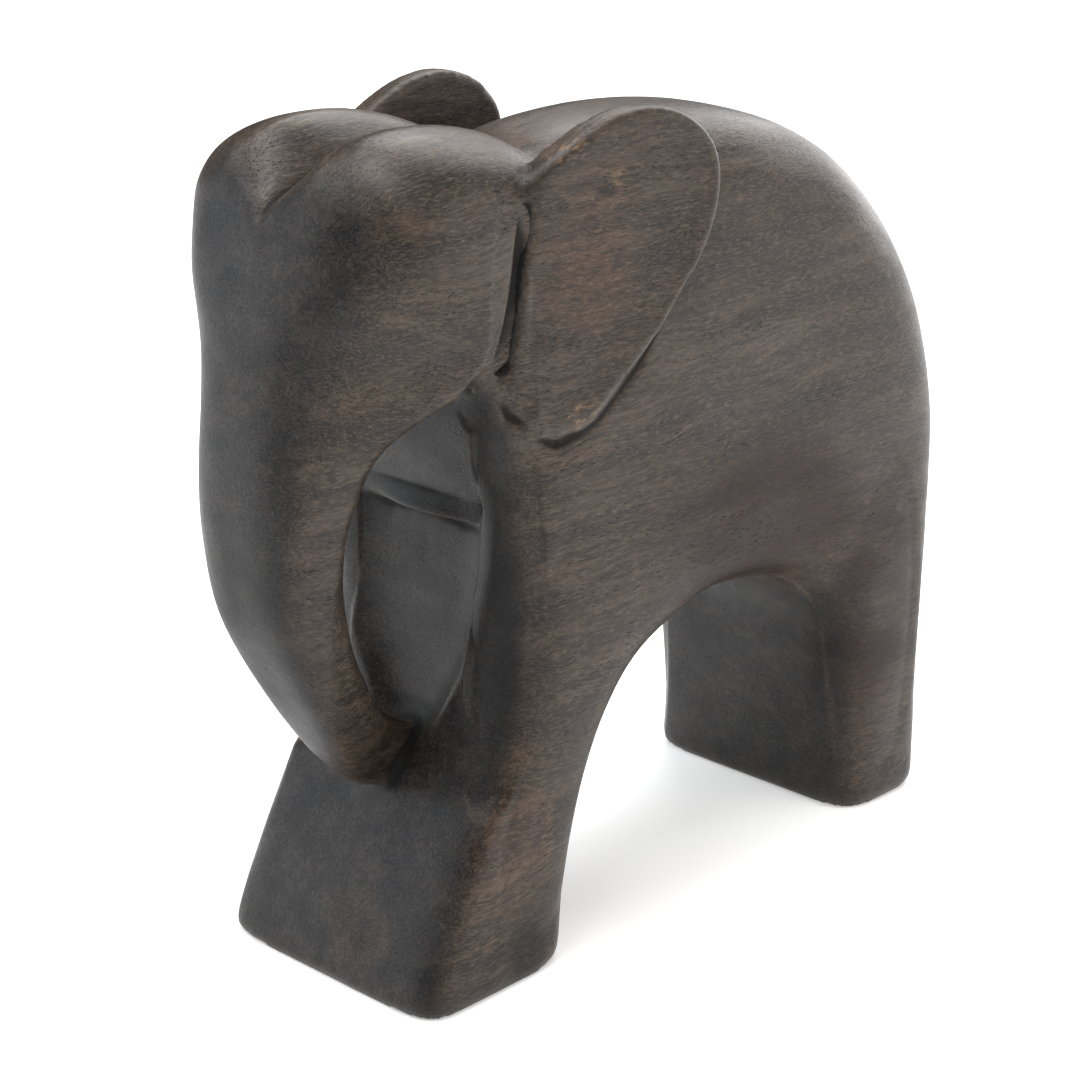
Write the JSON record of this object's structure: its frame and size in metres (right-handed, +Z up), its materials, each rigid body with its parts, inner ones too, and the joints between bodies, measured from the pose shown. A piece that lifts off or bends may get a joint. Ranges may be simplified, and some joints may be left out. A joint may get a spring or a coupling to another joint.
{
  "type": "carved wooden elephant",
  "caption": "Small stylised elephant figure in dark carved wood, standing on two broad leg blocks with its trunk curled down to the front legs.",
  "frame": {"origin": "on the floor, under the middle of the figure's length and width", "axes": "+Z up, the elephant faces -Y, its left side is +X"},
  "size_m": [0.0562, 0.1596, 0.1471],
  "materials": {
    "dark_wood": "dark stained hardwood, satin wax, open pores"
  },
  "bodies": {
    "root": {"front_legs": "dark_wood", "torso": "dark_wood", "rear_legs": "dark_wood", "head": "dark_wood", "trunk": "dark_wood", "left_ear": "dark_wood", "right_ear": "dark_wood"}
  },
  "joints": []
}
